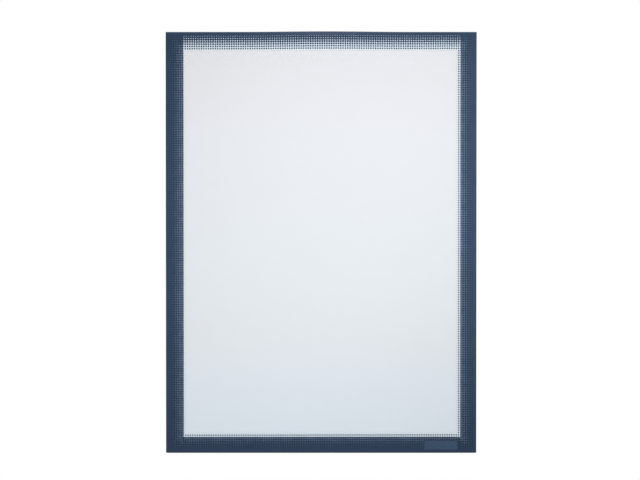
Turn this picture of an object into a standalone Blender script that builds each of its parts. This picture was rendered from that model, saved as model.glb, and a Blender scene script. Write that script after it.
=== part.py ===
"""Magnetic document holder, A4 upright.

Two leaves of clear stiff film are joined by a fold along the top edge. Flat magnet strips run down both
sides and along the bottom, on three levels: behind the rear leaf to hold it to a steel board, on the rear
leaf's inner face, and behind the cover leaf, so that the cover closes on the rear leaf. Each strip is stuck
to its leaf with a tape. The cover swings open about the fold.

X runs across, Z up, and the front faces -Y. The origin is the middle of the whole holder. Metres.
"""

import math

import bmesh
import bpy

# The film sheet

SHEET_WIDTH = 0.236
SHEET_HEIGHT = 0.323  # from the bottom edge to the fold's crest, at the sides
FILM_THICKNESS = 0.0004
CORNER_RADIUS = 0.0008
CORNER_STEPS = 5

# The fold, whose crest stands a little higher where no strip spreads the leaves

FOLD_GAP = 0.0003  # between the fold and each leaf's upper edge
FOLD_STEPS = 12
CREST_BOW = 0.00045
BOW_HALF_WIDTH = 0.066
BOW_CENTRE = 0.003
BOW_STEPS = 18

# The strips on their three levels

STRIP_WIDTH = 0.012  # of the cover's magnets, which hide the other strips from the front
CLOSING_STRIP_INSET = 0.001  # the closing strips' edges lie this much inside the cover's magnets
HOLDING_MAGNET_INSET = 0.0005  # and the holding magnets' edges this much
COVER_MAGNET_THICKNESS = 0.0009
CLOSING_STRIP_THICKNESS = 0.0005
HOLDING_MAGNET_THICKNESS = 0.0009
STRIP_EDGE_ROUND = 0.00012
STRIP_EDGE_STEPS = 2

LEFT_MARGIN = 0.0012  # from the sheet's edge to the cover's strip
RIGHT_MARGIN = 0.0002
BOTTOM_MARGIN = 0.0002
TOP_MARGIN = 0.0025  # from the fold's crest to the side strips' upper ends
STRIP_END_GAP = 0.0003  # between the bottom strip and each side strip

TAPE_THICKNESS = 0.0001
TAPE_INSET = 0.0005  # the tape is this much inside its strip all round

# How the layers lie on each other

GLUE_LINE = 0.00005
DOCUMENT_GAP = 0.00035  # between the closing strips and the cover's magnets

# Colours, roughness and metallic values

CLEAR_FILM = {"colour": (0.80, 0.84, 0.87, 1.0), "roughness": 0.12, "metallic": 0.0, "alpha": 0.35}
MAGNET_RUBBER = {"colour": (0.030, 0.034, 0.042, 1.0), "roughness": 0.75, "metallic": 0.0, "alpha": 1.0}
CLOSING_RUBBER = {"colour": (0.045, 0.047, 0.052, 1.0), "roughness": 0.70, "metallic": 0.0, "alpha": 1.0}
TAPE_FILM = {"colour": (0.72, 0.70, 0.62, 1.0), "roughness": 0.45, "metallic": 0.0, "alpha": 1.0}

# The layers from the wall forward: name, thickness, and the gap in front of it

LAYERS = (
    ("holding_magnet", HOLDING_MAGNET_THICKNESS, GLUE_LINE),
    ("holding_tape", TAPE_THICKNESS, GLUE_LINE),
    ("rear_panel", FILM_THICKNESS, GLUE_LINE),
    ("closing_tape", TAPE_THICKNESS, GLUE_LINE),
    ("closing_strip", CLOSING_STRIP_THICKNESS, DOCUMENT_GAP),
    ("cover_magnet", COVER_MAGNET_THICKNESS, GLUE_LINE),
    ("cover_tape", TAPE_THICKNESS, GLUE_LINE),
    ("front_cover", FILM_THICKNESS, 0.0),
)


def lay_out_layers():
    """Each layer's (front, rear) in Y, with the whole stack centred on Y = 0."""
    depth = sum(thickness + gap for _, thickness, gap in LAYERS)
    rear = depth / 2
    found = {}
    for name, thickness, gap in LAYERS:
        front = rear - thickness
        found[name] = (front, rear)
        rear = front - gap
    return found


def middle(span):
    return (span[0] + span[1]) / 2


def length(span):
    return abs(span[1] - span[0])


LAYER_Y = lay_out_layers()

# The fold turns about a line halfway between the leaves' outer faces

FOLD_OUTER_RADIUS = (LAYER_Y["rear_panel"][1] - LAYER_Y["front_cover"][0]) / 2
FOLD_INNER_RADIUS = FOLD_OUTER_RADIUS - FILM_THICKNESS
FOLD_Y = LAYER_Y["front_cover"][0] + FOLD_OUTER_RADIUS

# The origin is halfway up the holder, counting the raised crest

BOTTOM_Z = -(SHEET_HEIGHT + CREST_BOW) / 2
CREST_Z = BOTTOM_Z + SHEET_HEIGHT
FOLD_Z = CREST_Z - FOLD_OUTER_RADIUS
LEAF_TOP_Z = FOLD_Z - FOLD_GAP
LEFT_X = -SHEET_WIDTH / 2
RIGHT_X = SHEET_WIDTH / 2


def clear_scene():
    for old in list(bpy.data.objects):
        bpy.data.objects.remove(old, do_unlink=True)


def make_material(name, look):
    material = bpy.data.materials.new(name)
    material.use_nodes = True
    shader = material.node_tree.nodes["Principled BSDF"]
    shader.inputs["Base Color"].default_value = look["colour"]
    shader.inputs["Roughness"].default_value = look["roughness"]
    shader.inputs["Metallic"].default_value = look["metallic"]
    shader.inputs["Alpha"].default_value = look["alpha"]
    return material


def add_empty(name, location):
    empty = bpy.data.objects.new(name, None)
    empty.empty_display_size = 0.01
    empty.location = location
    bpy.context.scene.collection.objects.link(empty)
    return empty


def add_object(name, mesh_builder, material, place, parent):
    """Makes one object at a world place under an empty that isn't turned."""
    mesh = bpy.data.meshes.new(name)
    mesh_builder.to_mesh(mesh)
    mesh_builder.free()
    mesh.materials.append(material)
    piece = bpy.data.objects.new(name, mesh)
    bpy.context.scene.collection.objects.link(piece)
    piece.parent = parent
    piece.location = [place[i] - parent.location[i] for i in range(3)]
    return piece


def leaf_outline():
    """A leaf's outline as (x, z) points, with its two lower corners rounded and its top cut square."""
    points = [(RIGHT_X, LEAF_TOP_Z), (LEFT_X, LEAF_TOP_Z)]
    for centre_x, first_turn in (
        (LEFT_X + CORNER_RADIUS, math.pi),
        (RIGHT_X - CORNER_RADIUS, 1.5 * math.pi),
    ):
        for step in range(CORNER_STEPS + 1):
            turn = first_turn + 0.5 * math.pi * step / CORNER_STEPS
            x = centre_x + CORNER_RADIUS * math.cos(turn)
            z = BOTTOM_Z + CORNER_RADIUS + CORNER_RADIUS * math.sin(turn)
            points.append((x, z))
    return points


def add_leaf(name, layer, material, parent):
    """A flat leaf of film: its outline extruded from its front face to its rear face."""
    front, rear = LAYER_Y[layer]
    outline = leaf_outline()
    centre_z = (LEAF_TOP_Z + BOTTOM_Z) / 2
    builder = bmesh.new()
    corners = [builder.verts.new((x, 0.0, z - centre_z)) for x, z in outline]
    face = builder.faces.new(corners)
    extruded = bmesh.ops.extrude_face_region(builder, geom=[face])
    raised = [item for item in extruded["geom"] if isinstance(item, bmesh.types.BMVert)]
    bmesh.ops.translate(builder, verts=raised, vec=(0.0, rear - front, 0.0))
    bmesh.ops.recalc_face_normals(builder, faces=builder.faces)
    return add_object(name, builder, material, (0.0, front, centre_z), parent)


def add_strip(name, x_span, z_span, layer, material, parent, rounding):
    """A flat strip whose long edges are rounded and whose ends are cut square."""
    size = (length(x_span), length(LAYER_Y[layer]), length(z_span))
    along = 0 if size[0] > size[2] else 2
    builder = bmesh.new()
    bmesh.ops.create_cube(builder, size=1.0)
    bmesh.ops.scale(builder, verts=builder.verts, vec=size)
    if rounding:
        long_edges = [
            edge
            for edge in builder.edges
            if abs(edge.verts[0].co[along] - edge.verts[1].co[along]) > size[along] / 2
        ]
        bmesh.ops.bevel(
            builder,
            geom=long_edges,
            offset=rounding,
            segments=STRIP_EDGE_STEPS,
            profile=0.5,
            affect="EDGES",
        )
    place = (middle(x_span), middle(LAYER_Y[layer]), middle(z_span))
    return add_object(name, builder, material, place, parent)


def crest_bow(x):
    """How much higher than its ends the fold stands at x."""
    share = abs(x - BOW_CENTRE) / BOW_HALF_WIDTH
    if share >= 1.0:
        return 0.0
    return CREST_BOW * math.cos(0.5 * math.pi * share) ** 2


def fold_section(x):
    """The fold's cross-section at x: a half ring of film, taller where the crest bows up."""
    bow = crest_bow(x)
    turns = [math.pi * step / FOLD_STEPS for step in range(FOLD_STEPS + 1)]
    outer = [
        (x, -FOLD_OUTER_RADIUS * math.cos(turn), (FOLD_OUTER_RADIUS + bow) * math.sin(turn))
        for turn in turns
    ]
    inner = [
        (x, -FOLD_INNER_RADIUS * math.cos(turn), (FOLD_INNER_RADIUS + bow) * math.sin(turn))
        for turn in reversed(turns)
    ]
    return outer + inner


def fold_stations():
    """Where along X the fold has a section: both ends, and close together under the bow."""
    first = max(BOW_CENTRE - BOW_HALF_WIDTH, LEFT_X)
    last = min(BOW_CENTRE + BOW_HALF_WIDTH, RIGHT_X)
    inside = [first + (last - first) * step / BOW_STEPS for step in range(BOW_STEPS + 1)]
    return [LEFT_X] + [x for x in inside if LEFT_X < x < RIGHT_X] + [RIGHT_X]


def add_fold(name, material, parent):
    """The bend that joins the leaves, lofted through its sections from side to side."""
    builder = bmesh.new()
    rings = [[builder.verts.new(point) for point in fold_section(x)] for x in fold_stations()]
    for ring, following in zip(rings, rings[1:]):
        for index in range(len(ring)):
            beside = (index + 1) % len(ring)
            builder.faces.new((ring[index], ring[beside], following[beside], following[index]))
    builder.faces.new(rings[0])
    builder.faces.new(rings[-1])
    bmesh.ops.recalc_face_normals(builder, faces=builder.faces)
    fold = add_object(name, builder, material, (0.0, FOLD_Y, FOLD_Z), parent)
    fold.data.shade_smooth()
    fold.data.set_sharp_from_angle(angle=math.radians(40))
    return fold


def strip_spans(edge_inset):
    """The (x, z) spans of a left, right and bottom strip that lie this much inside the cover's."""
    left = inset((LEFT_X + LEFT_MARGIN, LEFT_X + LEFT_MARGIN + STRIP_WIDTH), edge_inset)
    right = inset((RIGHT_X - RIGHT_MARGIN - STRIP_WIDTH, RIGHT_X - RIGHT_MARGIN), edge_inset)
    low = inset((BOTTOM_Z + BOTTOM_MARGIN, BOTTOM_Z + BOTTOM_MARGIN + STRIP_WIDTH), edge_inset)
    between = (left[1] + STRIP_END_GAP, right[0] - STRIP_END_GAP)
    upright = (low[0], CREST_Z - TOP_MARGIN)
    return {"left": (left, upright), "right": (right, upright), "bottom": (between, low)}


def inset(span, margin):
    return (span[0] + margin, span[1] - margin)


def add_strip_level(level, strip_kind, edge_inset, strip_material, tape_material, parent):
    """Three strips and their tapes on one level."""
    for side, (x_span, z_span) in strip_spans(edge_inset).items():
        add_strip(
            f"{level}_{strip_kind}_{side}",
            x_span,
            z_span,
            f"{level}_{strip_kind}",
            strip_material,
            parent,
            STRIP_EDGE_ROUND,
        )
        add_strip(
            f"{level}_tape_{side}",
            inset(x_span, TAPE_INSET),
            inset(z_span, TAPE_INSET),
            f"{level}_tape",
            tape_material,
            parent,
            0.0,
        )


def build_holder():
    clear_scene()
    film = make_material("clear_film", CLEAR_FILM)
    magnet = make_material("magnet_rubber", MAGNET_RUBBER)
    closing = make_material("closing_rubber", CLOSING_RUBBER)
    tape = make_material("tape_film", TAPE_FILM)

    rear_leaf = add_empty("rear_leaf_frame", (0.0, 0.0, 0.0))
    cover = add_empty("cover_hinge_axis", (0.0, FOLD_Y, FOLD_Z))

    add_leaf("rear_panel", "rear_panel", film, rear_leaf)
    add_fold("hinge_fold", film, rear_leaf)
    add_strip_level("holding", "magnet", HOLDING_MAGNET_INSET, magnet, tape, rear_leaf)
    add_strip_level("closing", "strip", CLOSING_STRIP_INSET, closing, tape, rear_leaf)

    add_leaf("front_cover", "front_cover", film, cover)
    add_strip_level("cover", "magnet", 0.0, magnet, tape, cover)


build_holder()
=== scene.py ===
import math

import bmesh
import bpy
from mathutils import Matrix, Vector


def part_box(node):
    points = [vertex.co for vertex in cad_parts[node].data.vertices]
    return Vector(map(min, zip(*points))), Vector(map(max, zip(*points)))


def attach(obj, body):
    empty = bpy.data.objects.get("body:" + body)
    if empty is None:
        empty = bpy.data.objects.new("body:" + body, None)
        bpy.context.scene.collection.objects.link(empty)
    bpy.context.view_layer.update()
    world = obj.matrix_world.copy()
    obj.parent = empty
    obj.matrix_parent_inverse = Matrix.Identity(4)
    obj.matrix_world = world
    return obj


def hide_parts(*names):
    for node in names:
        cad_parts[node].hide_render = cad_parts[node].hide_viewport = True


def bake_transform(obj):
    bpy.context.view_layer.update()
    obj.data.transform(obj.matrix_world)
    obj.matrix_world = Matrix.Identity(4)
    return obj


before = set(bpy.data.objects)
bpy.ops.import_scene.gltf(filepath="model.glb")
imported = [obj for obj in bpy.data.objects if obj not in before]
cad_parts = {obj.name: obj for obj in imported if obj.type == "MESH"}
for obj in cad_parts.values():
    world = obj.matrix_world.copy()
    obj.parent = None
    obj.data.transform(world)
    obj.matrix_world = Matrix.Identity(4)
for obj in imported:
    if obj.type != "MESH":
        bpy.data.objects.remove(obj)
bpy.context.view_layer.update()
print("frame loaded:", len(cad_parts), "nodes")

mm = 0.001
sameWithin = 0.004 * mm  # coordinates that are nearer than this count as the same
weldWithin = 0.001 * mm
smoothAngle = 35  # degrees, past which an edge stays sharp
plainWhite = (1.0, 1.0, 1.0, 1.0)
frontSide, rearSide = 0, 1  # which corner of a box a face belongs to
alongX, alongY, alongZ = 0, 1, 2


# Small helpers for working as in the viewport

def deselectAll():
    if bpy.context.mode != "OBJECT":
        bpy.ops.object.mode_set(mode="OBJECT")
    bpy.ops.object.select_all(action="DESELECT")


def makeActive(piece):
    deselectAll()
    piece.select_set(True)
    bpy.context.view_layer.objects.active = piece


def startBlock(name, low, high):
    # a cube at its size and place, with the object itself at the origin
    deselectAll()
    middle = [(a + b) / 2 for a, b in zip(low, high)]
    size = [b - a for a, b in zip(low, high)]
    bpy.ops.mesh.primitive_cube_add(size=1.0, location=middle, scale=size)
    piece = bpy.context.object
    piece.name = name
    piece.data.name = name
    bpy.ops.object.transform_apply(location=True, rotation=True, scale=True)
    return piece


def openEdit(piece):
    makeActive(piece)
    bpy.ops.object.mode_set(mode="EDIT")


def closeEdit():
    bpy.ops.object.mode_set(mode="OBJECT")


def pick(piece, kind, wanted):
    # selects every vertex, edge or face whose corners pass the test
    bpy.ops.mesh.select_mode(type=kind)
    bpy.ops.mesh.select_all(action="DESELECT")
    cage = bmesh.from_edit_mesh(piece.data)
    parts = {"VERT": cage.verts, "EDGE": cage.edges, "FACE": cage.faces}[kind]
    for part in parts:
        corners = [part.co] if kind == "VERT" else [corner.co for corner in part.verts]
        if wanted(corners):
            part.select_set(True)
    bmesh.update_edit_mesh(piece.data)


def near(a, b):
    return abs(a - b) < sameWithin


def allNear(corners, axis, value):
    return all(near(corner[axis], value) for corner in corners)


def runsAlong(corners, axis):
    # true for an edge parallel to one axis
    start, end = corners
    return all(near(start[other], end[other]) for other in range(3) if other != axis)


def cutAcross(axis, places):
    # cuts the whole mesh at each place along an axis
    direction = [0.0, 0.0, 0.0]
    direction[axis] = 1.0
    for place in places:
        point = [0.0, 0.0, 0.0]
        point[axis] = place
        bpy.ops.mesh.select_all(action="SELECT")
        bpy.ops.mesh.bisect(plane_co=point, plane_no=direction, use_fill=False)


def evenPlaces(start, end, count):
    return [start + (end - start) * (step + 1) / (count + 1) for step in range(count)]


def applyModifier(piece, kind, settings):
    makeActive(piece)
    modifier = piece.modifiers.new(kind.title(), kind)
    for name, value in settings.items():
        setattr(modifier, name, value)
    bpy.ops.object.modifier_apply(modifier=modifier.name)


def paintWeights(piece, groupName, rule):
    group = piece.vertex_groups.new(name=groupName)
    for vertex in piece.data.vertices:
        share = rule(vertex.co)
        if share > 0:
            group.add([vertex.index], share, "REPLACE")


def smoothShare(value, start, end):
    # 0 up to start, 1 from end on, and easy at both
    share = min(max((value - start) / (end - start), 0.0), 1.0)
    return share * share * (3 - 2 * share)


def finishPiece(piece, material, nodes, body=None):
    makeActive(piece)
    bpy.ops.object.shade_smooth_by_angle(angle=math.radians(smoothAngle))
    piece.data.materials.clear()
    piece.data.materials.append(material)
    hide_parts(*nodes)
    if body:
        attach(piece, body)


# Small helpers for the node trees

def feed(tree, value, socket):
    if isinstance(value, bpy.types.NodeSocket):
        tree.links.new(value, socket)
    else:
        socket.default_value = value


def addNode(tree, kind, settings=None, inputs=None):
    node = tree.nodes.new(kind)
    for name, value in (settings or {}).items():
        setattr(node, name, value)
    for name, value in (inputs or {}).items():
        feed(tree, value, node.inputs[name])
    return node


def calc(tree, operation, *values, clamp=False):
    node = addNode(tree, "ShaderNodeMath", {"operation": operation, "use_clamp": clamp})
    for value, socket in zip(values, node.inputs):
        feed(tree, value, socket)
    return node.outputs[0]


def leastOf(tree, values):
    least = values[0]
    for value in values[1:]:
        least = calc(tree, "MINIMUM", least, value)
    return least


def mixColour(tree, share, first, second):
    inputs = {0: share, 6: first, 7: second}
    return addNode(tree, "ShaderNodeMix", {"data_type": "RGBA"}, inputs).outputs[2]


def mixValue(tree, share, first, second):
    inputs = {0: share, 2: first, 3: second}
    return addNode(tree, "ShaderNodeMix", {"data_type": "FLOAT"}, inputs).outputs[0]


def mixShader(tree, share, first, second):
    inputs = {0: share, 1: first, 2: second}
    return addNode(tree, "ShaderNodeMixShader", None, inputs).outputs[0]


def scaleVector(tree, vector, factor):
    inputs = {0: vector, "Scale": factor}
    return addNode(tree, "ShaderNodeVectorMath", {"operation": "SCALE"}, inputs).outputs[0]


def splitPlace(tree, vector):
    return addNode(tree, "ShaderNodeSeparateXYZ", None, {0: vector}).outputs


def noise(tree, position, scale, detail, roughness, stretch=None):
    if stretch is not None:
        inputs = {"Vector": position, "Scale": stretch}
        position = addNode(tree, "ShaderNodeMapping", None, inputs).outputs["Vector"]
    inputs = {"Vector": position, "Scale": scale, "Detail": detail, "Roughness": roughness}
    return addNode(tree, "ShaderNodeTexNoise", None, inputs).outputs["Fac"]


def ramp(tree, value, start, end):
    # 0 below start, 1 above end
    inputs = {"Value": value, "From Min": start, "From Max": end}
    settings = {"interpolation_type": "SMOOTHSTEP"}
    return addNode(tree, "ShaderNodeMapRange", settings, inputs).outputs["Result"]


def newGroup(name, inputs, outputs):
    # each input has a kind and the value that it starts with, or None
    tree = bpy.data.node_groups.new(name, "ShaderNodeTree")
    kinds = {"vector": "NodeSocketVector", "value": "NodeSocketFloat", "colour": "NodeSocketColor"}
    for label, (kind, start) in inputs.items():
        socket = tree.interface.new_socket(name=label, in_out="INPUT", socket_type=kinds[kind])
        if start is not None:
            socket.default_value = start
    for label, kind in outputs.items():
        tree.interface.new_socket(name=label, in_out="OUTPUT", socket_type=kinds[kind])
    given = tree.nodes.new("NodeGroupInput")
    result = tree.nodes.new("NodeGroupOutput")
    return tree, given.outputs, result.inputs


def placeGroup(tree, group, inputs):
    return addNode(tree, "ShaderNodeGroup", {"node_tree": group}, inputs).outputs


def newMaterial(name, uniform):
    # uniform holds what is the same all over, which is set on the shader's own sockets
    material = bpy.data.materials.new(name)
    material.use_nodes = True
    tree = material.node_tree
    shader = tree.nodes["Principled BSDF"]
    for socketName, value in uniform.items():
        shader.inputs[socketName].default_value = value
    position = tree.nodes.new("ShaderNodeTexCoord").outputs["Object"]
    return material, tree, shader, position


def addBump(tree, shader, height, strength, distance):
    inputs = {"Height": height, "Strength": strength, "Distance": distance}
    bump = addNode(tree, "ShaderNodeBump", None, inputs)
    tree.links.new(bump.outputs["Normal"], shader.inputs["Normal"])


# The camera, far off with a long lens, because the photograph shows next to no perspective

cameraView = {
    "elevation": 8.25,
    "distance": 15.0,
    "viewWidth": 0.48627,  # metres across the picture at the holder
    "sensor": 36.0,
    "target": (-0.875 * mm, -2.0 * mm, 1.965 * mm),
    "farthest": 60.0,  # that the camera sees
}


def placeCamera():
    deselectAll()
    bpy.ops.object.camera_add()
    camera = bpy.context.object
    camera.name = "photoCamera"
    lift = math.radians(cameraView["elevation"])
    away = Vector((0.0, -math.cos(lift), math.sin(lift)))
    camera.location = Vector(cameraView["target"]) + away * cameraView["distance"]
    camera.rotation_euler = (math.pi / 2 - lift, 0.0, 0.0)
    camera.data.sensor_width = cameraView["sensor"]
    camera.data.lens = cameraView["sensor"] * cameraView["distance"] / cameraView["viewWidth"]
    camera.data.clip_end = cameraView["farthest"]
    bpy.context.scene.camera = camera


placeCamera()
print("camera placed")


# The stage: a pale floor well below the hanging holder, lit softly from the front right and above

stageLook = {
    "floorHeight": -0.30,
    "floorSize": 16.0,
    "floorColour": (0.90, 0.90, 0.90, 1.0),
    "floorRoughness": 0.9,
    "fadeStart": 0.30,  # the floor keeps its shadow up to here and is plain white from fadeEnd on
    "fadeEnd": 0.80,
    "roomLight": (0.90, 0.97, 1.0, 1.0),
    "roomStrength": 0.30,
}
lamps = {
    # a soft-edged beam from the right, brightest a little above the middle, as in the photograph
    "keySpot": {
        "kind": "SPOT",
        "place": (1.040, -1.645, 0.524),
        "aim": (0.012, 0.0, 0.040),
        "power": 131.0,
        "colour": (1.0, 0.99, 0.97),
        "shape": {"spot_size": math.radians(15.0), "spot_blend": 1.0, "shadow_soft_size": 0.12},
    },
    # a panel overhead and behind, for the floor and the holder's back
    "topPanel": {
        "kind": "AREA",
        "place": (0.0, 0.45, 1.15),
        "aim": (0.0, 0.45, 0.0),
        "power": 10.5,
        "colour": (1.0, 1.0, 1.0),
        "shape": {"size": 0.7},
    },
}


def showsWhite(tree):
    # 1 for the rays that see the backdrop: straight, by reflection or by refraction
    path = tree.nodes.new("ShaderNodeLightPath").outputs
    seen = calc(tree, "MAXIMUM", path["Is Camera Ray"], path["Is Glossy Ray"])
    return calc(tree, "MAXIMUM", seen, path["Is Transmission Ray"])


def makeWorld():
    world = bpy.data.worlds.new("studioRoom")
    bpy.context.scene.world = world
    world.use_nodes = True
    tree = world.node_tree
    room = tree.nodes["Background"]
    room.inputs["Color"].default_value = stageLook["roomLight"]
    room.inputs["Strength"].default_value = stageLook["roomStrength"]
    white = addNode(tree, "ShaderNodeBackground", None, {"Color": plainWhite})
    seen = mixShader(tree, showsWhite(tree), room.outputs[0], white.outputs[0])
    tree.links.new(seen, tree.nodes["World Output"].inputs["Surface"])


def makeFloor():
    deselectAll()
    bpy.ops.mesh.primitive_plane_add(
        size=stageLook["floorSize"], location=(0.0, 0.0, stageLook["floorHeight"])
    )
    floor = bpy.context.object
    floor.name = "studioFloor"
    material, tree, shader, position = newMaterial("paleFloor", {
        "Base Color": stageLook["floorColour"],
        "Roughness": stageLook["floorRoughness"],
        "Specular IOR Level": 0.0,
    })
    reach = addNode(tree, "ShaderNodeVectorMath", {"operation": "LENGTH"}, {0: position})
    far = ramp(tree, reach.outputs["Value"], stageLook["fadeStart"], stageLook["fadeEnd"])
    white = addNode(tree, "ShaderNodeEmission", None, {"Color": plainWhite})
    whitened = calc(tree, "MULTIPLY", far, showsWhite(tree))
    upperSide = mixShader(tree, whitened, shader.outputs[0], white.outputs[0])
    # the underside is left open, so that a view from below shows the holder
    below = tree.nodes.new("ShaderNodeNewGeometry").outputs["Backfacing"]
    clear = tree.nodes.new("ShaderNodeBsdfTransparent")
    opened = mixShader(tree, below, upperSide, clear.outputs[0])
    tree.links.new(opened, tree.nodes["Material Output"].inputs["Surface"])
    floor.data.materials.append(material)


def makeLamps():
    for name, lamp in lamps.items():
        deselectAll()
        bpy.ops.object.light_add(type=lamp["kind"], location=lamp["place"])
        light = bpy.context.object
        light.name = name
        light.data.energy = lamp["power"]
        light.data.color = lamp["colour"]
        for setting, value in lamp["shape"].items():
            setattr(light.data, setting, value)
        aim = Vector(lamp["aim"]) - Vector(lamp["place"])
        light.rotation_euler = aim.to_track_quat("-Z", "Y").to_euler()
        light.visible_camera = False


makeWorld()
makeFloor()
makeLamps()
bpy.context.scene.view_settings.view_transform = "Standard"
print("stage and light made")


# Effects that several materials share. A noise's scale counts its waves to the metre.

noiseMean = 0.5
filmTexture = {
    "waveScale": 14.0,
    "waveStretch": (1.0, 1.0, 0.6),
    "grainScale": 900.0,
    "grainShare": 0.0006,  # of the grain beside the waves
    "patchScale": 22.0,
    "hazeChange": 0.08,
}
inkTexture = {
    "cloudScale": 45.0,
    "grainScale": 700.0,
    "grainShare": 0.4,  # of the grain beside the clouds
}
rubberTexture = {
    "lineScale": 2600.0,
    "grainScale": 3200.0,
    "grainShare": 0.6,  # of the grain beside the lines
    "patchScale": 60.0,
    "bloomStart": 0.42,
    "bloomEnd": 0.72,
}
tapeTexture = {
    "streakScale": 150.0,
    "bubbleScale": 420.0,
    "bubbleShare": 0.35,  # of the bubbles beside the streaks
    "wettedShare": 0.55,
    "rimWidth": 0.18,  # of the soft step from wetted to dry
}


def makeFilmSurface():
    # slow waves, fine grain and uneven haze of calendered matt film
    inputs = {
        "Position": ("vector", None),
        "Wave Scale": ("value", filmTexture["waveScale"]),
        "Grain Scale": ("value", filmTexture["grainScale"]),
        "Haze Change": ("value", filmTexture["hazeChange"]),
    }
    outputs = {"Height": "value", "Haze": "value", "Grain": "value"}
    tree, given, result = newGroup("filmSurface", inputs, outputs)
    position = given["Position"]
    wave = noise(
        tree, position, given["Wave Scale"],
        detail=1.0, roughness=0.4, stretch=filmTexture["waveStretch"],
    )
    grain = noise(tree, position, given["Grain Scale"], detail=2.0, roughness=0.6)
    patches = noise(tree, position, filmTexture["patchScale"], detail=3.0, roughness=0.55)
    unevenness = calc(tree, "SUBTRACT", patches, noiseMean)
    height = calc(tree, "MULTIPLY_ADD", grain, filmTexture["grainShare"], wave)
    haze = calc(tree, "MULTIPLY_ADD", unevenness, given["Haze Change"], 1.0)
    tree.links.new(height, result["Height"])
    tree.links.new(haze, result["Haze"])
    tree.links.new(grain, result["Grain"])
    return tree


def makeInkTone():
    # the printed ink: slightly mottled, and greyer right at the sheet's edge
    inputs = {
        "Position": ("vector", None),
        "Ink": ("colour", None),
        "Edge Ink": ("colour", None),
        "Edge Distance": ("value", None),
        "Edge Width": ("value", None),
        "Mottle": ("value", None),
    }
    tree, given, result = newGroup("inkTone", inputs, {"Colour": "colour", "Grain": "value"})
    inner = ramp(tree, given["Edge Distance"], 0.0, given["Edge Width"])
    base = mixColour(tree, inner, given["Edge Ink"], given["Ink"])
    cloud = noise(tree, given["Position"], inkTexture["cloudScale"], detail=3.0, roughness=0.55)
    grain = noise(tree, given["Position"], inkTexture["grainScale"], detail=1.0, roughness=0.5)
    texture = calc(tree, "ADD", cloud, calc(tree, "MULTIPLY", grain, inkTexture["grainShare"]))
    change = calc(tree, "SUBTRACT", texture, noiseMean * (1 + inkTexture["grainShare"]))
    level = calc(tree, "MULTIPLY_ADD", change, given["Mottle"], 1.0)
    tree.links.new(scaleVector(tree, base, level), result["Colour"])
    tree.links.new(grain, result["Grain"])
    return tree


def makeRubberGrain():
    # extruded rubber: drawn lines along the strip, mineral grain, and a paler dusty bloom
    inputs = {
        "Position": ("vector", None),
        "Line Stretch": ("vector", None),
        "Bloom": ("value", None),
    }
    outputs = {"Height": "value", "Bloom": "value", "Grain": "value"}
    tree, given, result = newGroup("rubberGrain", inputs, outputs)
    position = given["Position"]
    lines = noise(
        tree, position, rubberTexture["lineScale"],
        detail=2.0, roughness=0.6, stretch=given["Line Stretch"],
    )
    grain = noise(tree, position, rubberTexture["grainScale"], detail=3.0, roughness=0.65)
    patches = noise(tree, position, rubberTexture["patchScale"], detail=4.0, roughness=0.6)
    bloomed = ramp(tree, patches, rubberTexture["bloomStart"], rubberTexture["bloomEnd"])
    height = calc(tree, "MULTIPLY_ADD", grain, rubberTexture["grainShare"], lines)
    tree.links.new(height, result["Height"])
    tree.links.new(calc(tree, "MULTIPLY", bloomed, given["Bloom"]), result["Bloom"])
    tree.links.new(grain, result["Grain"])
    return tree


def makeTapeWetting():
    # where the glue has wetted its surface it looks darker and smoother than over trapped air
    inputs = {
        "Position": ("vector", None),
        "Bubble Scale": ("value", tapeTexture["bubbleScale"]),
        "Wetted Share": ("value", tapeTexture["wettedShare"]),
    }
    tree, given, result = newGroup("tapeWetting", inputs, {"Air": "value", "Height": "value"})
    streaks = noise(
        tree, given["Position"], tapeTexture["streakScale"], detail=3.0, roughness=0.6
    )
    bubbles = addNode(
        tree, "ShaderNodeTexVoronoi", {"feature": "SMOOTH_F1"},
        {"Vector": given["Position"], "Scale": given["Bubble Scale"]},
    ).outputs["Distance"]
    mixed = calc(tree, "MULTIPLY_ADD", bubbles, tapeTexture["bubbleShare"], streaks)
    upper = calc(tree, "ADD", given["Wetted Share"], tapeTexture["rimWidth"])
    tree.links.new(ramp(tree, mixed, given["Wetted Share"], upper), result["Air"])
    tree.links.new(mixed, result["Height"])
    return tree


# The print: a dark frame that breaks up into a square grid of dots which shrink inwards

bowCentre = 3.0  # millimetres, of the place where the film bows up along the fold
bowHalfWidth = 66.0
printLayout = {
    "halfWidth": 118.0,  # this and all other lengths here are millimetres on the cover's front
    "top": 161.275,
    "bottom": -161.3,
    "columnPitch": 1.762,
    "columnStart": -2.63,
    "columnLean": -0.0006,  # sideways for each millimetre up
    "drawnIn": 0.40,  # how far the columns near the right edge lie closer together
    "drawnStart": 35.0,
    "drawnWidth": 70.0,
    "rowPitch": 1.766,
    "rowStart": 0.36,
    "rowLean": 0.0016,
    "solidWidth": 2.4,
    "fullRadius": 0.565,  # of a dot, as a share of the pitch, at fullAt from the edge
    "fullAt": 3.9,
    "shrink": 0.0295,  # for each millimetre farther in
    "leastRadius": 0.335,
    "fadeEnd": 13.8,
    "lastRadius": 0.08,  # of the faint dots from fadeEnd to lastEnd
    "lastEnd": 15.6,
    "softness": 0.10,
    "bowLift": 0.55,
    "bowFade": 60.0,  # how far down the rows are lifted
}


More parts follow.
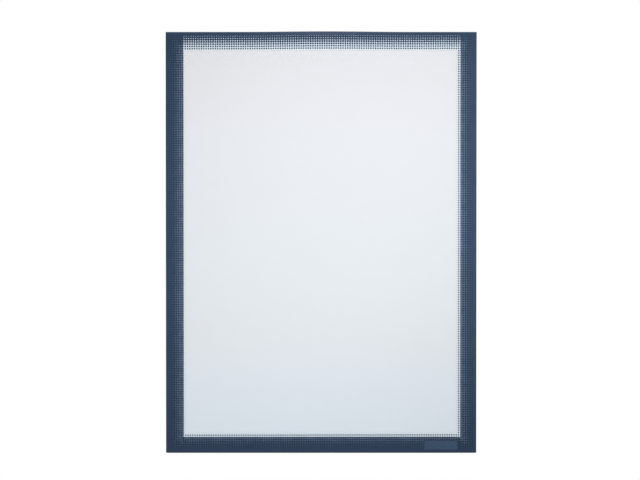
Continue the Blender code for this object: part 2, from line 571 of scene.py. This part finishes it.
def makeDotScreen():
    inputs = {
        "Position": ("vector", None),
        "Column Pitch": ("value", printLayout["columnPitch"]),
        "Row Pitch": ("value", printLayout["rowPitch"]),
        "Solid Width": ("value", printLayout["solidWidth"]),
        "Softness": ("value", printLayout["softness"]),
    }
    tree, given, result = newGroup("dotScreen", inputs, {"Ink": "value", "Edge Distance": "value"})
    layout = printLayout
    place = splitPlace(tree, scaleVector(tree, given["Position"], 1.0 / mm))
    x, z = place["X"], place["Z"]

    # the rows follow the film where it bows up in the middle of the fold
    aside = calc(tree, "DIVIDE", calc(tree, "SUBTRACT", x, bowCentre), bowHalfWidth)
    aside = calc(tree, "MINIMUM", calc(tree, "ABSOLUTE", aside), 1.0)
    crest = calc(tree, "COSINE", calc(tree, "MULTIPLY", aside, math.pi / 2))
    hump = calc(tree, "POWER", crest, 2.0)
    fromFade = calc(tree, "SUBTRACT", z, layout["top"] - layout["bowFade"])
    rise = calc(tree, "DIVIDE", fromFade, layout["bowFade"], clamp=True)
    lift = calc(tree, "MULTIPLY", calc(tree, "MULTIPLY", hump, rise), layout["bowLift"])
    flatZ = calc(tree, "SUBTRACT", z, lift)

    def cells(value, across, start, lean, pitch):
        # how far a point lies from its cell's middle, and where that middle is before it leans
        shifted = calc(tree, "SUBTRACT", value, calc(tree, "MULTIPLY_ADD", across, lean, start))
        index = calc(tree, "DIVIDE", shifted, pitch)
        whole = calc(tree, "ROUND", index)
        offset = calc(tree, "MULTIPLY", calc(tree, "SUBTRACT", index, whole), pitch)
        return offset, calc(tree, "MULTIPLY_ADD", whole, pitch, start)

    fromDrawn = calc(tree, "SUBTRACT", x, layout["drawnStart"])
    nearRight = calc(tree, "DIVIDE", fromDrawn, layout["drawnWidth"], clamp=True)
    drawnX = calc(tree, "MULTIPLY_ADD", calc(tree, "POWER", nearRight, 2.0), layout["drawnIn"], x)
    offsetX, cellX = cells(
        drawnX, z, layout["columnStart"], layout["columnLean"], given["Column Pitch"]
    )
    offsetZ, cellZ = cells(flatZ, x, layout["rowStart"], layout["rowLean"], given["Row Pitch"])

    def edgeDistance(atX, atZ):
        return leastOf(tree, [
            calc(tree, "ADD", atX, layout["halfWidth"]),
            calc(tree, "SUBTRACT", layout["halfWidth"], atX),
            calc(tree, "SUBTRACT", atZ, layout["bottom"]),
            calc(tree, "SUBTRACT", layout["top"], atZ),
        ])

    cellDistance = edgeDistance(cellX, cellZ)
    localDistance = edgeDistance(x, flatZ)

    # every dot has one radius, which its cell's distance from the edge gives
    fullest = layout["fullRadius"] + layout["shrink"] * layout["fullAt"]
    fading = calc(tree, "MULTIPLY_ADD", cellDistance, -layout["shrink"], fullest)
    fading = calc(tree, "MAXIMUM", fading, layout["leastRadius"])
    noDot = -1.0
    inTail = calc(tree, "LESS_THAN", cellDistance, layout["lastEnd"])
    tail = calc(tree, "MULTIPLY_ADD", inTail, layout["lastRadius"] - noDot, noDot)
    inFade = calc(tree, "LESS_THAN", cellDistance, layout["fadeEnd"])
    radius = calc(tree, "MULTIPLY", mixValue(tree, inFade, tail, fading), given["Column Pitch"])

    squareX = calc(tree, "POWER", offsetX, 2.0)
    fromCentre = calc(tree, "SQRT", calc(tree, "ADD", squareX, calc(tree, "POWER", offsetZ, 2.0)))
    dot = calc(tree, "DIVIDE", calc(tree, "SUBTRACT", radius, fromCentre), given["Softness"])
    dot = calc(tree, "ADD", dot, 0.5, clamp=True)
    solid = calc(tree, "LESS_THAN", localDistance, given["Solid Width"])
    tree.links.new(calc(tree, "MAXIMUM", dot, solid), result["Ink"])
    tree.links.new(localDistance, result["Edge Distance"])
    return tree


filmSurface = makeFilmSurface()
inkTone = makeInkTone()
rubberGrain = makeRubberGrain()
tapeWetting = makeTapeWetting()
dotScreen = makeDotScreen()
print("shared effects made")


# Film materials

filmLook = {
    "hazeColour": (0.715, 0.772, 0.845, 1.0),
    "footShadeHaze": (0.675, 0.813, 0.972, 1.0),  # painted shade: the haze is bluer towards the foot, where less of the warm key light falls
    "footShadeStart": -145.0 * mm,
    "footShadeEnd": -60.0 * mm,
    "headLightHaze": (0.775, 0.790, 0.863, 1.0),  # painted light: the haze is a little paler towards the head, where the key light is stronger
    "headLightStart": -20.0 * mm,
    "headLightEnd": 140.0 * mm,
    "veilColour": (0.57, 0.745, 0.955, 1.0),  # of the thin veil of ink between the dots
    "veilStart": 11.5,
    "veilEnd": 15.0,
    "coverAlpha": 0.56,  # of the cover, whose matt inside is milky with air behind it
    "gluedAlpha": 0.0,  # the same where the tape's glue wets the matt side and clears it
    "glueSpread": {  # how far the glue reaches past each strip's left and right edges
        "left": (0.0, -0.15 * mm),
        "right": (0.0, 0.0),
        "bottom": (0.45 * mm, 0.15 * mm),
    },
    "glueEdge": 0.05 * mm,
    "rearAlpha": 0.06,  # of the clear rear leaf
    "rearWaves": 11.0,
    "cutEdgeAlpha": 0.55,
    "cutEdgeColour": (0.62, 0.70, 0.76, 1.0),
    "cutEdgeStart": 0.02 * mm,
    "cutEdgeEnd": 0.16 * mm,
    "roughness": 0.38,
    "grainRoughness": 0.12,
    "shine": 0.06,
    "bumpStrength": 0.5,
    "waveHeight": 0.25 * mm,
}
inkLook = {
    "ink": (0.0445, 0.0775, 0.139, 1.0),
    "edgeInk": (0.049, 0.076, 0.122, 1.0),
    "edgeWidth": 2.4,
    "mottle": 0.14,
    "thickness": 0.01,  # as a share of the film's wave height
    "roughness": 0.46,
    "grainRoughness": 0.14,
}
bareField = {  # an empty field in slightly paler ink, low on the right of the border
    "left": 78.2,
    "right": 104.1,
    "bottom": -159.4,
    "top": -152.0,
    "ink": (0.073, 0.126, 0.205, 1.0),
    "softness": 0.6,
}


def firstFaceOnly(tree, value):
    # a sheet shows its haze once, on the face that is met first
    backfacing = tree.nodes.new("ShaderNodeNewGeometry").outputs["Backfacing"]
    return calc(tree, "MULTIPLY", value, calc(tree, "SUBTRACT", 1.0, backfacing))


def roughened(tree, grain, look):
    return calc(tree, "MULTIPLY_ADD", grain, look["grainRoughness"], look["roughness"])


def gluedShare(tree, place):
    # 1 in front of each of the cover's strips
    share = 0.0
    for side, (leftSpread, rightSpread) in filmLook["glueSpread"].items():
        low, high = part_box("cover_magnet_" + side)
        inside = leastOf(tree, [
            calc(tree, "SUBTRACT", place["X"], low[alongX] - leftSpread),
            calc(tree, "SUBTRACT", high[alongX] + rightSpread, place["X"]),
            calc(tree, "SUBTRACT", place["Z"], low[alongZ]),
            calc(tree, "SUBTRACT", high[alongZ], place["Z"]),
        ])
        share = calc(tree, "MAXIMUM", share, ramp(tree, inside, 0.0, filmLook["glueEdge"]))
    return share


# painted light and shade on the haze: bluer towards the foot, paler towards the head
def hazeWithPaintedLight(tree, place):
    outOfFootShade = ramp(tree, place["Z"], filmLook["footShadeStart"], filmLook["footShadeEnd"])
    intoHeadLight = ramp(tree, place["Z"], filmLook["headLightStart"], filmLook["headLightEnd"])
    shadedBelow = mixColour(tree, outOfFootShade, filmLook["footShadeHaze"], filmLook["hazeColour"])
    outside = mixColour(tree, intoHeadLight, shadedBelow, filmLook["headLightHaze"])
    # the inside keeps one tint: it lies behind this plane wherever the leaf leans
    low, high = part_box("front_cover")
    between = (low[alongY] + leafFilm["sag"] + high[alongY]) / 2
    isInside = calc(tree, "GREATER_THAN", place["Y"], between)
    return mixColour(tree, isInside, outside, filmLook["hazeColour"])


def fieldShare(tree, place):
    # 1 within the bare field
    inside = []
    for axis, low, high in (("X", "left", "right"), ("Z", "bottom", "top")):
        along = calc(tree, "DIVIDE", place[axis], mm)
        inside.append(calc(tree, "SUBTRACT", along, bareField[low]))
        inside.append(calc(tree, "SUBTRACT", bareField[high], along))
    return ramp(tree, leastOf(tree, inside), 0.0, bareField["softness"])


def makeCoverMaterial():
    material, tree, shader, position = newMaterial("printedFilm", {
        "Specular IOR Level": filmLook["shine"],
    })
    surface = placeGroup(tree, filmSurface, {"Position": position})
    screen = placeGroup(tree, dotScreen, {"Position": position})
    place = splitPlace(tree, position)
    field = fieldShare(tree, place)
    ink = calc(tree, "MAXIMUM", screen["Ink"], field)
    tone = placeGroup(tree, inkTone, {
        "Position": position,
        "Ink": mixColour(tree, field, inkLook["ink"], bareField["ink"]),
        "Edge Ink": inkLook["edgeInk"],
        "Edge Distance": screen["Edge Distance"],
        "Edge Width": inkLook["edgeWidth"],
        "Mottle": inkLook["mottle"],
    })
    milky = calc(tree, "MULTIPLY", surface["Haze"], filmLook["coverAlpha"])
    milky = mixValue(tree, gluedShare(tree, place), milky, filmLook["gluedAlpha"])
    opacity = mixValue(tree, ink, firstFaceOnly(tree, milky), 1.0)
    tree.links.new(opacity, shader.inputs["Alpha"])
    # at a dot's soft rim the colour is shared out by how much the ink and the haze each cover
    unveiled = ramp(tree, screen["Edge Distance"], filmLook["veilStart"], filmLook["veilEnd"])
    haze = mixColour(tree, unveiled, filmLook["veilColour"], hazeWithPaintedLight(tree, place))
    colour = mixColour(tree, calc(tree, "DIVIDE", ink, opacity), haze, tone["Colour"])
    tree.links.new(colour, shader.inputs["Base Color"])
    clearRoughness = roughened(tree, surface["Grain"], filmLook)
    inkRoughness = roughened(tree, tone["Grain"], inkLook)
    tree.links.new(mixValue(tree, ink, clearRoughness, inkRoughness), shader.inputs["Roughness"])
    height = calc(tree, "MULTIPLY_ADD", ink, inkLook["thickness"], surface["Height"])
    addBump(tree, shader, height, filmLook["bumpStrength"], filmLook["waveHeight"])
    return material


def makeClearMaterial():
    material, tree, shader, position = newMaterial("clearFilm", {
        "Specular IOR Level": filmLook["shine"],
    })
    surface = placeGroup(tree, filmSurface, {
        "Position": position,
        "Wave Scale": filmLook["rearWaves"],
    })
    # the cut edges at both sides and the foot show a narrow, denser line
    low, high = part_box("rear_panel")
    place = splitPlace(tree, position)
    borders = [
        calc(tree, "SUBTRACT", place["X"], low[alongX]),
        calc(tree, "SUBTRACT", high[alongX], place["X"]),
        calc(tree, "SUBTRACT", place["Z"], low[alongZ]),
    ]
    inner = ramp(tree, leastOf(tree, borders), filmLook["cutEdgeStart"], filmLook["cutEdgeEnd"])
    colour = mixColour(tree, inner, filmLook["cutEdgeColour"], filmLook["hazeColour"])
    tree.links.new(colour, shader.inputs["Base Color"])
    milky = firstFaceOnly(tree, calc(tree, "MULTIPLY", surface["Haze"], filmLook["rearAlpha"]))
    opacity = mixValue(tree, inner, filmLook["cutEdgeAlpha"], milky)
    tree.links.new(opacity, shader.inputs["Alpha"])
    tree.links.new(roughened(tree, surface["Grain"], filmLook), shader.inputs["Roughness"])
    addBump(tree, shader, surface["Height"], filmLook["bumpStrength"], filmLook["waveHeight"])
    return material


def makeFoldMaterial():
    # the ink runs over the crest and ends on the rear side, as the attribute says
    material, tree, shader, position = newMaterial("foldedFilm", {
        "Specular IOR Level": filmLook["shine"],
    })
    surface = placeGroup(tree, filmSurface, {
        "Position": position,
        "Wave Scale": foldFilm["waves"],
    })
    around = addNode(tree, "ShaderNodeAttribute", {"attribute_name": "aroundFold"}).outputs["Fac"]
    inkEnd = foldFilm["inkEnd"]
    clearShare = ramp(tree, around, inkEnd, inkEnd + foldFilm["inkFade"])
    # the ink is a little greyer over the crest
    fromCrest = calc(tree, "ABSOLUTE", calc(tree, "SUBTRACT", around, foldFilm["crest"]))
    # and the ink is painted paler where the film bows up: a painted highlight where the bulge catches
    # the light
    fromBow = calc(tree, "SUBTRACT", splitPlace(tree, position)["X"], bowCentre * mm)
    outsideBowHighlight = ramp(tree, calc(tree, "ABSOLUTE", fromBow), 0.0, bowHalfWidth * mm)
    tone = placeGroup(tree, inkTone, {
        "Position": position,
        "Ink": mixColour(tree, outsideBowHighlight, foldFilm["bowHighlightInk"], inkLook["ink"]),
        "Edge Ink": foldFilm["crestInk"],
        "Edge Distance": fromCrest,
        "Edge Width": foldFilm["crestWidth"],
        "Mottle": inkLook["mottle"],
    })
    colour = mixColour(tree, clearShare, tone["Colour"], filmLook["hazeColour"])
    tree.links.new(colour, shader.inputs["Base Color"])
    milky = calc(tree, "MULTIPLY", surface["Haze"], foldFilm["clearAlpha"])
    tree.links.new(mixValue(tree, clearShare, 1.0, milky), shader.inputs["Alpha"])
    tree.links.new(roughened(tree, tone["Grain"], inkLook), shader.inputs["Roughness"])
    addBump(tree, shader, surface["Height"], foldFilm["bumpStrength"], filmLook["waveHeight"])
    return material


# The two leaves of film

leafFilm = {
    "cornerRadius": 0.8 * mm,
    "cornerSegments": 6,
    "edgeRound": 0.06 * mm,
    "edgeSegments": 2,
    "cutsAcross": 15,
    "cutsUp": 21,
    "sag": 0.35 * mm,  # how far the free middle leans into the pocket at most
    "sagStart": 14.0 * mm,  # from the sheet's edge
    "sagEnd": 70.0 * mm,
    "waveSize": 0.11,
    "waveDepth": 1,
}


def makeLeaf(name, node, inward, material, body):
    low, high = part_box(node)
    piece = startBlock(name, low, high)
    openEdit(piece)
    pick(piece, "EDGE", lambda c: runsAlong(c, alongY) and allNear(c, alongZ, low[alongZ]))
    bpy.ops.mesh.bevel(
        offset=leafFilm["cornerRadius"], segments=leafFilm["cornerSegments"], affect="EDGES"
    )

    def isRim(corners):
        # all round both faces, except at the top where the sheet goes on into the fold
        onFace = allNear(corners, alongY, low[alongY]) or allNear(corners, alongY, high[alongY])
        return onFace and not allNear(corners, alongZ, high[alongZ])

    pick(piece, "EDGE", isRim)
    bpy.ops.mesh.bevel(
        offset=leafFilm["edgeRound"], segments=leafFilm["edgeSegments"], affect="EDGES"
    )
    cutAcross(alongX, evenPlaces(low[alongX], high[alongX], leafFilm["cutsAcross"]))
    cutAcross(alongZ, evenPlaces(low[alongZ], high[alongZ], leafFilm["cutsUp"]))
    closeEdit()

    def freeMiddle(point):
        margin = min(
            point.x - low[alongX], high[alongX] - point.x,
            point.z - low[alongZ], high[alongZ] - point.z,
        )
        return smoothShare(margin, leafFilm["sagStart"], leafFilm["sagEnd"])

    paintWeights(piece, "freeMiddle", freeMiddle)
    wave = bpy.data.textures.new(name + "Wave", "CLOUDS")
    wave.noise_scale = leafFilm["waveSize"]
    wave.noise_depth = leafFilm["waveDepth"]
    applyModifier(piece, "DISPLACE", {
        "texture": wave,
        "texture_coords": "LOCAL",
        "direction": "Y",
        "strength": inward * leafFilm["sag"],
        "mid_level": 0.0,
        "vertex_group": "freeMiddle",
    })
    piece.vertex_groups.clear()
    finishPiece(piece, material, [node], body)


# The fold along the top: a half turn of the same film, a little taller in its middle

foldFilm = {
    "turnSteps": 24,
    "cutsAcross": 47,
    "bowHeight": 0.45 * mm,
    "crest": 0.5,  # share of the way round, from the front
    "crestWidth": 0.44,  # on each side, in the same share
    "crestInk": (0.058, 0.080, 0.120, 1.0),
    # painted highlight on the bowed middle of the crest
    "bowHighlightInk": (0.080, 0.108, 0.178, 1.0),
    "inkEnd": 0.80,  # also a share of the way round
    "inkFade": 0.03,
    "clearAlpha": 0.2,
    "waves": 30.0,
    "bumpStrength": 0.4,
}


def makeFold(material):
    coverLow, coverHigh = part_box("front_cover")
    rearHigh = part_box("rear_panel")[1]
    foldLow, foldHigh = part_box("hinge_fold")
    thickness = coverHigh[alongY] - coverLow[alongY]
    centreY = (coverLow[alongY] + rearHigh[alongY]) / 2
    centreZ = foldLow[alongZ]
    # the film's cross-section where the fold begins, which the spin carries over the top
    deselectAll()
    bpy.ops.mesh.primitive_plane_add(
        size=1.0,
        location=(0.0, (coverLow[alongY] + coverHigh[alongY]) / 2, centreZ),
    )
    piece = bpy.context.object
    piece.name = "foldFilm"
    piece.data.name = "foldFilm"
    piece.scale = (foldHigh[alongX] - foldLow[alongX], thickness, 1.0)
    bpy.ops.object.transform_apply(location=True, rotation=True, scale=True)
    openEdit(piece)
    cutAcross(alongX, evenPlaces(foldLow[alongX], foldHigh[alongX], foldFilm["cutsAcross"]))
    bpy.ops.mesh.select_all(action="SELECT")
    bpy.ops.mesh.spin(
        steps=foldFilm["turnSteps"],
        angle=math.pi,
        center=(0.0, centreY, centreZ),
        axis=(1.0, 0.0, 0.0),
    )
    bpy.ops.mesh.select_all(action="SELECT")
    bpy.ops.mesh.remove_doubles(threshold=weldWithin)
    # straight tails down to both leaves
    pick(piece, "FACE", lambda c: allNear(c, alongZ, centreZ))
    tail = coverHigh[alongZ] - centreZ
    bpy.ops.mesh.extrude_region_move(TRANSFORM_OT_translate={"value": (0.0, 0.0, tail)})
    bpy.ops.mesh.select_all(action="SELECT")
    bpy.ops.mesh.normals_make_consistent(inside=False)
    closeEdit()

    def bowShare(point):
        aside = abs(point.x - bowCentre * mm) / (bowHalfWidth * mm)
        if aside >= 1.0 or point.z <= centreZ:
            return 0.0
        height = (point.z - centreZ) / math.hypot(point.y - centreY, point.z - centreZ)
        return height * math.cos(0.5 * math.pi * aside) ** 2

    # how far round each point lies, kept on the mesh so that the ink moves with the film
    around = piece.data.attributes.new("aroundFold", "FLOAT", "POINT")
    for index, vertex in enumerate(piece.data.vertices):
        turn = math.atan2(max(vertex.co.z - centreZ, 0.0), centreY - vertex.co.y)
        around.data[index].value = turn / math.pi
    paintWeights(piece, "bow", bowShare)
    applyModifier(piece, "DISPLACE", {
        "direction": "Z",
        "strength": foldFilm["bowHeight"],
        "mid_level": 0.0,
        "vertex_group": "bow",
    })
    piece.vertex_groups.clear()
    finishPiece(piece, material, ["hinge_fold"])
    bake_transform(piece)


coverMaterial = makeCoverMaterial()
clearMaterial = makeClearMaterial()
foldMaterial = makeFoldMaterial()
makeLeaf("coverFilm", "front_cover", 1.0, coverMaterial, "cover")
makeLeaf("rearFilm", "rear_panel", -1.0, clearMaterial, "rear_leaf")
makeFold(foldMaterial)
print("film made")


# The magnet strips and the strips that they close on

stripShape = {
    "longEdge": 0.12 * mm,
    "endCorner": 0.25 * mm,
    "segments": 3,
    "grooveWidth": 0.32 * mm,
    "grooveDepth": 0.05 * mm,
}
rubberLook = {
    "shine": 0.35,
    "lineStretch": 0.02,  # along the strip, so that the drawn lines run lengthwise
    "bloom": 0.5,
    "grainRoughness": 0.2,
    "bloomRoughness": 0.15,
    "bumpStrength": 0.6,
}
magnetLook = {
    "rubber": (0.028, 0.033, 0.042, 1.0),
    "bloom": (0.076, 0.086, 0.102, 1.0),
    "roughness": 0.62,
    "grainHeight": 0.03 * mm,
}
closingLook = {
    "rubber": (0.052, 0.053, 0.056, 1.0),
    "bloom": (0.13, 0.13, 0.125, 1.0),
    "roughness": 0.5,
    "grainHeight": 0.02 * mm,
}
strips = {
    "holdingMagnet": {
        "nodeStart": "holding_magnet_",  # left, right or bottom follows
        "body": "rear_leaf",
        "bareSide": rearSide,
        "grooves": 5,
        "slot": "magnet_rubber",
        "look": magnetLook,
    },
    "closingStrip": {
        "nodeStart": "closing_strip_",
        "body": "rear_leaf",
        "bareSide": frontSide,
        "grooves": 0,
        "slot": "closing_rubber",
        "look": closingLook,
    },
    "coverMagnet": {
        "nodeStart": "cover_magnet_",
        "body": "cover",
        "bareSide": rearSide,
        "grooves": 5,
        "slot": "magnet_rubber",
        "look": magnetLook,
    },
}


def makeRubberMaterial(name, look, along):
    material, tree, shader, position = newMaterial(name, {
        "Specular IOR Level": rubberLook["shine"],
    })
    stretch = [1.0, 1.0, 1.0]
    stretch[along] = rubberLook["lineStretch"]
    grain = placeGroup(tree, rubberGrain, {
        "Position": position,
        "Line Stretch": stretch,
        "Bloom": rubberLook["bloom"],
    })
    colour = mixColour(tree, grain["Bloom"], look["rubber"], look["bloom"])
    tree.links.new(colour, shader.inputs["Base Color"])
    bare = calc(
        tree, "MULTIPLY_ADD", grain["Grain"], rubberLook["grainRoughness"], look["roughness"]
    )
    dusty = calc(tree, "MULTIPLY", grain["Bloom"], rubberLook["bloomRoughness"])
    tree.links.new(calc(tree, "ADD", bare, dusty, clamp=True), shader.inputs["Roughness"])
    addBump(tree, shader, grain["Height"], rubberLook["bumpStrength"], look["grainHeight"])
    return material


def makeStrip(name, node, strip, material):
    low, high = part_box(node)
    isUpright = high[alongZ] - low[alongZ] > high[alongX] - low[alongX]
    across = alongX if isUpright else alongZ
    piece = startBlock(name, low, high)
    openEdit(piece)
    pick(piece, "EDGE", lambda c: runsAlong(c, alongY))
    bpy.ops.mesh.bevel(
        offset=stripShape["endCorner"], segments=stripShape["segments"], affect="EDGES"
    )
    pick(piece, "EDGE", lambda c: allNear(c, alongY, low[alongY]) or allNear(c, alongY, high[alongY]))
    bpy.ops.mesh.bevel(
        offset=stripShape["longEdge"], segments=stripShape["segments"], affect="EDGES"
    )
    # shallow drawn grooves on the bare face, each a line of points pushed in between two cuts
    bareY = (low, high)[strip["bareSide"]][alongY]
    inward = 1.0 if strip["bareSide"] == frontSide else -1.0
    half = stripShape["grooveWidth"] / 2
    for centre in evenPlaces(low[across], high[across], strip["grooves"]):
        cutAcross(across, [centre - half, centre, centre + half])
        pick(piece, "VERT", lambda c: near(c[0][across], centre) and near(c[0][alongY], bareY))
        bpy.ops.transform.translate(value=(0.0, inward * stripShape["grooveDepth"], 0.0))
    closeEdit()
    finishPiece(piece, material, [node], strip["body"])


for kind, strip in strips.items():
    upright = makeRubberMaterial(kind + "Upright", strip["look"], alongZ)
    level = makeRubberMaterial(kind + "Level", strip["look"], alongX)
    for side, material in (("left", upright), ("right", upright), ("bottom", level)):
        makeStrip(kind + side.title(), strip["nodeStart"] + side, strip, material)
print("strips made")


# The tapes keep their solids and get their own finishes

tapeLook = {
    "shine": 0.3,
    "airRoughness": 0.25,
    "bumpStrength": 0.4,
    "bumpHeight": 0.05 * mm,
}
tapes = {
    # the cover's tapes are what shows through the holes of the print; the right one is a copy painted
    # paler, painted light from the key lamp on the right
    "darkTape": {
        "nodes": ("cover_tape_left", "cover_tape_bottom"),
        "dry": (0.158, 0.229, 0.353, 1.0),
        "wetted": (0.118, 0.173, 0.272, 1.0),
        "roughness": 0.45,
    },
    # a lit copy of the dark tape: painted light on the right side
    "rightTapePaintedLit": {
        "nodes": ("cover_tape_right",),
        "dry": (0.193, 0.280, 0.431, 1.0),
        "wetted": (0.144, 0.211, 0.332, 1.0),
        "roughness": 0.45,
    },
    "paleTape": {
        "nodes": (
            "closing_tape_left", "closing_tape_right", "closing_tape_bottom",
            "holding_tape_left", "holding_tape_right", "holding_tape_bottom",
        ),
        "dry": (0.60, 0.60, 0.57, 1.0),
        "wetted": (0.42, 0.42, 0.40, 1.0),
        "roughness": 0.40,
    },
}


def makeTapeMaterial(name, look):
    material, tree, shader, position = newMaterial(name, {
        "Specular IOR Level": tapeLook["shine"],
    })
    wetting = placeGroup(tree, tapeWetting, {"Position": position})
    colour = mixColour(tree, wetting["Air"], look["wetted"], look["dry"])
    tree.links.new(colour, shader.inputs["Base Color"])
    roughness = calc(
        tree, "MULTIPLY_ADD", wetting["Air"], tapeLook["airRoughness"], look["roughness"]
    )
    tree.links.new(roughness, shader.inputs["Roughness"])
    addBump(tree, shader, wetting["Height"], tapeLook["bumpStrength"], tapeLook["bumpHeight"])
    return material


for name, look in tapes.items():
    material = makeTapeMaterial(name, look)
    for node in look["nodes"]:
        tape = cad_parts[node]
        tape.data.materials.clear()
        tape.data.materials.append(material)
print("tapes finished")

deselectAll()
